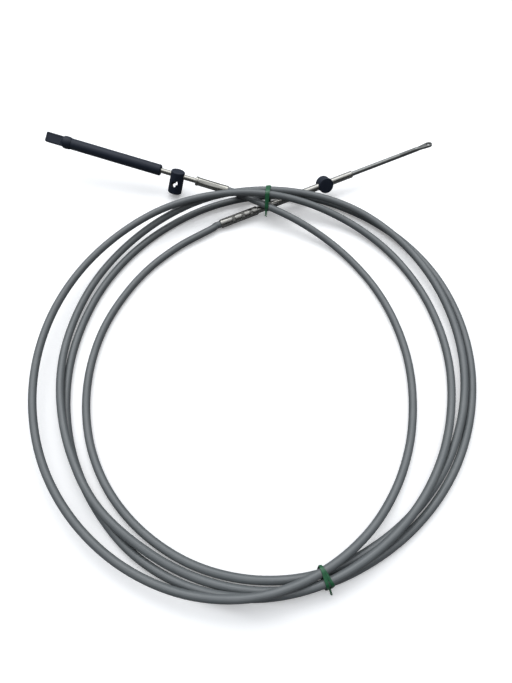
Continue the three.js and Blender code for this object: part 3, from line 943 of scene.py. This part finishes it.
# %% Twist ties
def twist_tie(name, clock, extra, tail, node, width, inside, fans):
    """Inside and fans are shifts along the cable, on the coil's inner side and its outer side."""
    circles = strand_crossings(clock, ROUTE, JACKET_R) + extra
    frame_3d = Matrix((plane_at(clock)[0], Vector((0, 0, 1)), plane_at(clock)[1])).transposed().to_4x4()
    frame_3d.translation = plane_at(clock)[2]
    bm = bmesh.new()
    section = strip_section(width)
    tail_angle, tail_length = tail
    for grow, fan in zip(WINDING_HEIGHTS, fans):
        loop = tight_loop(circles, grow)
        near, far = min(point.x for point in loop), max(point.x for point in loop)
        stations = []
        for k, point in enumerate(loop):
            step = loop[(k + 1) % LOOP_POINTS] - loop[k - 1]
            outward = Vector((step.y, -step.x, 0)).normalized()
            share = (point.x - near) / (far - near)
            skew = inside * (1 - share) + fan * share
            stations.append((Vector((point.x, point.y, skew)), Vector((0, 0, 1)), outward))
        sweep(bm, section, stations, True)
    way = Vector((math.cos(math.radians(tail_angle)), math.sin(math.radians(tail_angle)), 0))
    root = max(tight_loop(circles, 1.0), key=lambda p: p.x * way.x + p.y * way.y)
    side = Vector((-way.y, way.x, 0))
    for strand in (0, 1):
        stations = []
        for k in range(21):
            t = k / 20
            spin = 2.3 * math.pi * t + math.pi * strand
            arm = side * math.cos(spin) + Vector((0, 0, 1)) * math.sin(spin)
            splay = 0.55 + 2.2 * max(0, t - 0.72) * (1.6 if strand else 1)
            across = side * -math.sin(spin) + Vector((0, 0, 1)) * math.cos(spin)
            narrow = 0.62 - 0.3 * t
            place = Vector((root.x, root.y, 0)) + way * (tail_length * t - 0.6) + arm * splay
            stations.append((place, across * narrow, arm * 0.8))
        sweep(bm, section, stations, False)
    bmesh.ops.recalc_face_normals(bm, faces=bm.faces)
    piece = mesh_object(bm, name)
    return finish_piece(piece, TO_ROW @ frame_3d, GREEN, "cable", node, sharp=50)


tube_line = [fitting_frame(CONTROL) @ Vector((x, 0, 0)) for x in (0, C_TUBE_END)]
TOP_CLOCK, BOTTOM_CLOCK = 3.5, 163.5
twist_tie(
    "green_tie_top", TOP_CLOCK, strand_crossings(TOP_CLOCK, tube_line, C_TUBE_R), (195, 9),
    "twist_tie_top", 4.2, 0.2, (0.3, 2.6),
)
twist_tie(
    "green_tie_bottom", BOTTOM_CLOCK, [], (0, 6), "twist_tie_bottom", 3, 3.4, (-2.2, 2.4),
)

# %% [markdown]
# ## Floor and light
# The photograph shows the cable on white under a broad light at the top of the picture. The floor is
# near white to the camera and darker to what it is reflected in, so that the lower sides of the
# strands stay dark as in the photograph.


# %% Floor
FLOOR_GLOW = 0.25
FLOOR_SEEN = (0.92, 0.92, 0.92, 1)
FLOOR_REFLECTED = (0.16, 0.165, 0.17, 1)
FLOOR_SIZE = 3
FLOOR_BELOW = 0.0001


def floor_material():
    material, nodes, links, shader, coordinates = new_material("pale_floor")
    path = nodes.new("ShaderNodeLightPath")
    mix = nodes.new("ShaderNodeMix")
    mix.data_type = "RGBA"
    mix.inputs[6].default_value = FLOOR_REFLECTED
    mix.inputs[7].default_value = FLOOR_SEEN
    links.new(path.outputs["Is Camera Ray"], mix.inputs["Factor"])
    links.new(mix.outputs[2], shader.inputs["Base Color"])
    links.new(mix.outputs[2], shader.inputs["Emission Color"])
    glow = nodes.new("ShaderNodeMath")
    glow.operation = "MULTIPLY"
    glow.inputs[1].default_value = FLOOR_GLOW
    links.new(path.outputs["Is Camera Ray"], glow.inputs[0])
    links.new(glow.outputs["Value"], shader.inputs["Emission Strength"])
    shader.inputs["Roughness"].default_value = 0.9
    return material


def floor():
    bm = bmesh.new()
    bmesh.ops.create_grid(bm, x_segments=1, y_segments=1, size=FLOOR_SIZE)
    made = mesh_object(bm, "floor")
    made.location.z = -FLOOR_BELOW
    made.data.materials.append(floor_material())


floor()


# %% Lights
def softbox(name, place, target, size, power):
    light = bpy.data.lights.new(name, "AREA")
    light.shape = "RECTANGLE"
    light.size, light.size_y = size
    light.energy = power
    made = bpy.data.objects.new(name, light)
    made.location = place
    made.rotation_euler = (Vector(target) - Vector(place)).to_track_quat("-Z", "Y").to_euler()
    bpy.context.scene.collection.objects.link(made)


softbox("north_softbox", (-0.1, 0.75, 1.25), (0, 0, 0), (1.6, 0.7), 7)


# %% [markdown]
# The sky is graded from a bright patch above the far side to dark at the horizon, which gives the
# steel its light and dark bands. The camera itself sees plain white there, as in the photograph.


# %% Sky
SKY_SEEN = (1, 1, 1, 1)
SKY_MIDDLE = (-0.1, 0.38, 0.92)
SKY_STEPS = [(0.0, 0.05), (0.35, 0.16), (0.62, 0.75), (0.85, 1.45), (1.0, 1.6)]


def sky():
    world = bpy.data.worlds.new("studio")
    world.use_nodes = True
    nodes, links = world.node_tree.nodes, world.node_tree.links
    coordinates = nodes.new("ShaderNodeTexCoord")
    facing = nodes.new("ShaderNodeVectorMath")
    facing.operation = "DOT_PRODUCT"
    facing.inputs[1].default_value = SKY_MIDDLE
    links.new(coordinates.outputs["Generated"], facing.inputs[0])
    ramp = nodes.new("ShaderNodeValToRGB")
    ramp.color_ramp.interpolation = "EASE"
    for k, (position, value) in enumerate(SKY_STEPS):
        elements = ramp.color_ramp.elements
        step = elements[k] if k < 2 else elements.new(position)
        step.position = position
        step.color = (0.97 * value, value, 1.04 * value, 1)
    links.new(facing.outputs["Value"], ramp.inputs["Fac"])
    backdrop = nodes.new("ShaderNodeMix")
    backdrop.data_type = "RGBA"
    backdrop.inputs[7].default_value = SKY_SEEN
    links.new(nodes.new("ShaderNodeLightPath").outputs["Is Camera Ray"], backdrop.inputs["Factor"])
    links.new(ramp.outputs["Color"], backdrop.inputs[6])
    links.new(backdrop.outputs[2], nodes["Background"].inputs["Color"])
    return world


bpy.context.scene.world = sky()
bpy.context.scene.view_settings.view_transform = "Standard"
